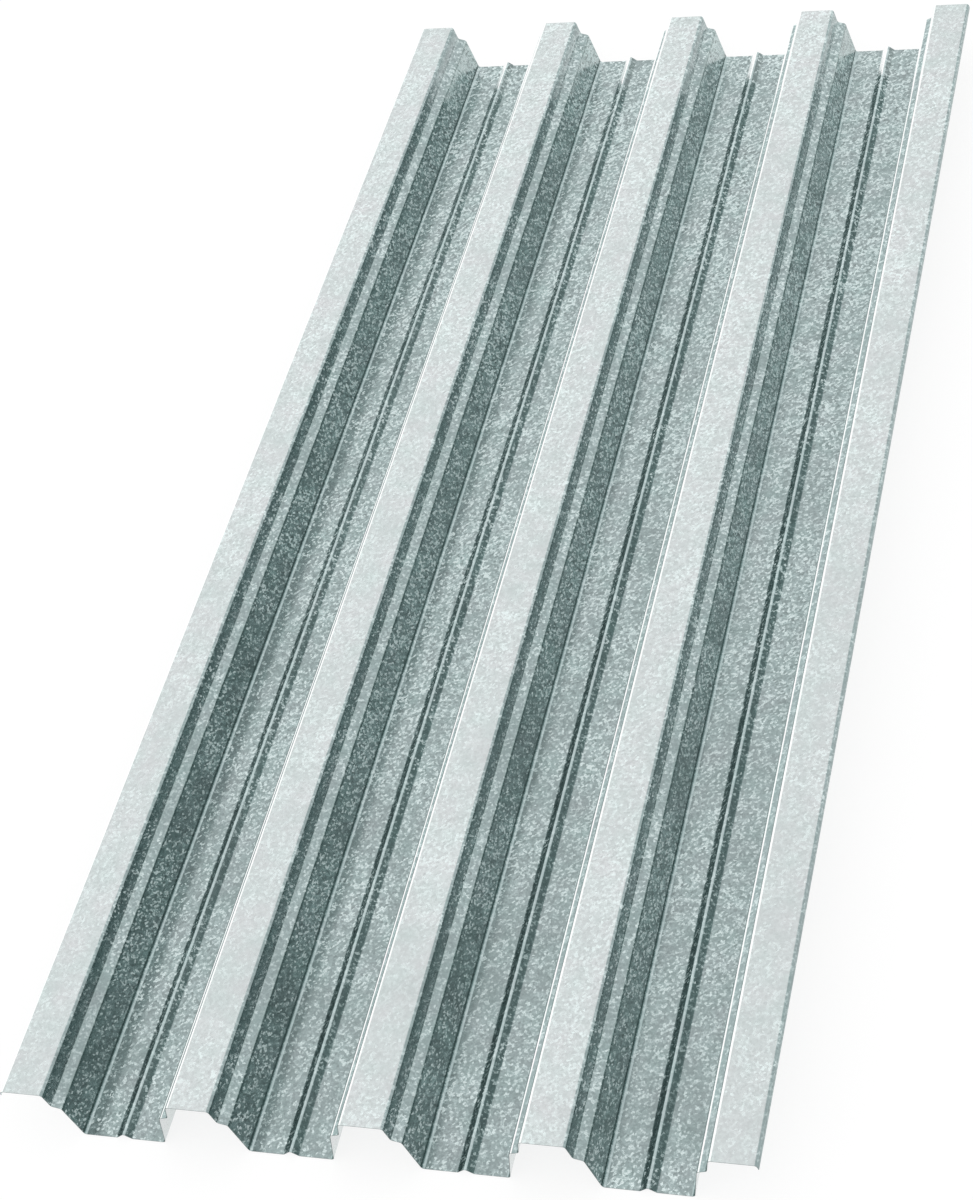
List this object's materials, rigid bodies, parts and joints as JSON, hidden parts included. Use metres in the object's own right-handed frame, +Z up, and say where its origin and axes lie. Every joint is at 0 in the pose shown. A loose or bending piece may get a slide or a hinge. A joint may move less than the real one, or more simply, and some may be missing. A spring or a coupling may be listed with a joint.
{
  "type": "trapezoidal profiled steel sheet",
  "caption": "Galvanised steel sheet rolled into deep trapezoidal ribs with stepped webs and a small stiffening rib along each wide flange.",
  "frame": {"origin": "middle of the sheet's footprint, on the surface that the wide flanges lie on", "axes": "+Y along the ribs, +X across them, +Z up out of the narrow flanges"},
  "size_m": [0.8004, 1.8, 0.073],
  "materials": {
    "galvanised_steel": "zinc spangle, satin"
  },
  "bodies": {
    "root": {"profiled_sheet": "galvanised_steel"}
  },
  "joints": []
}
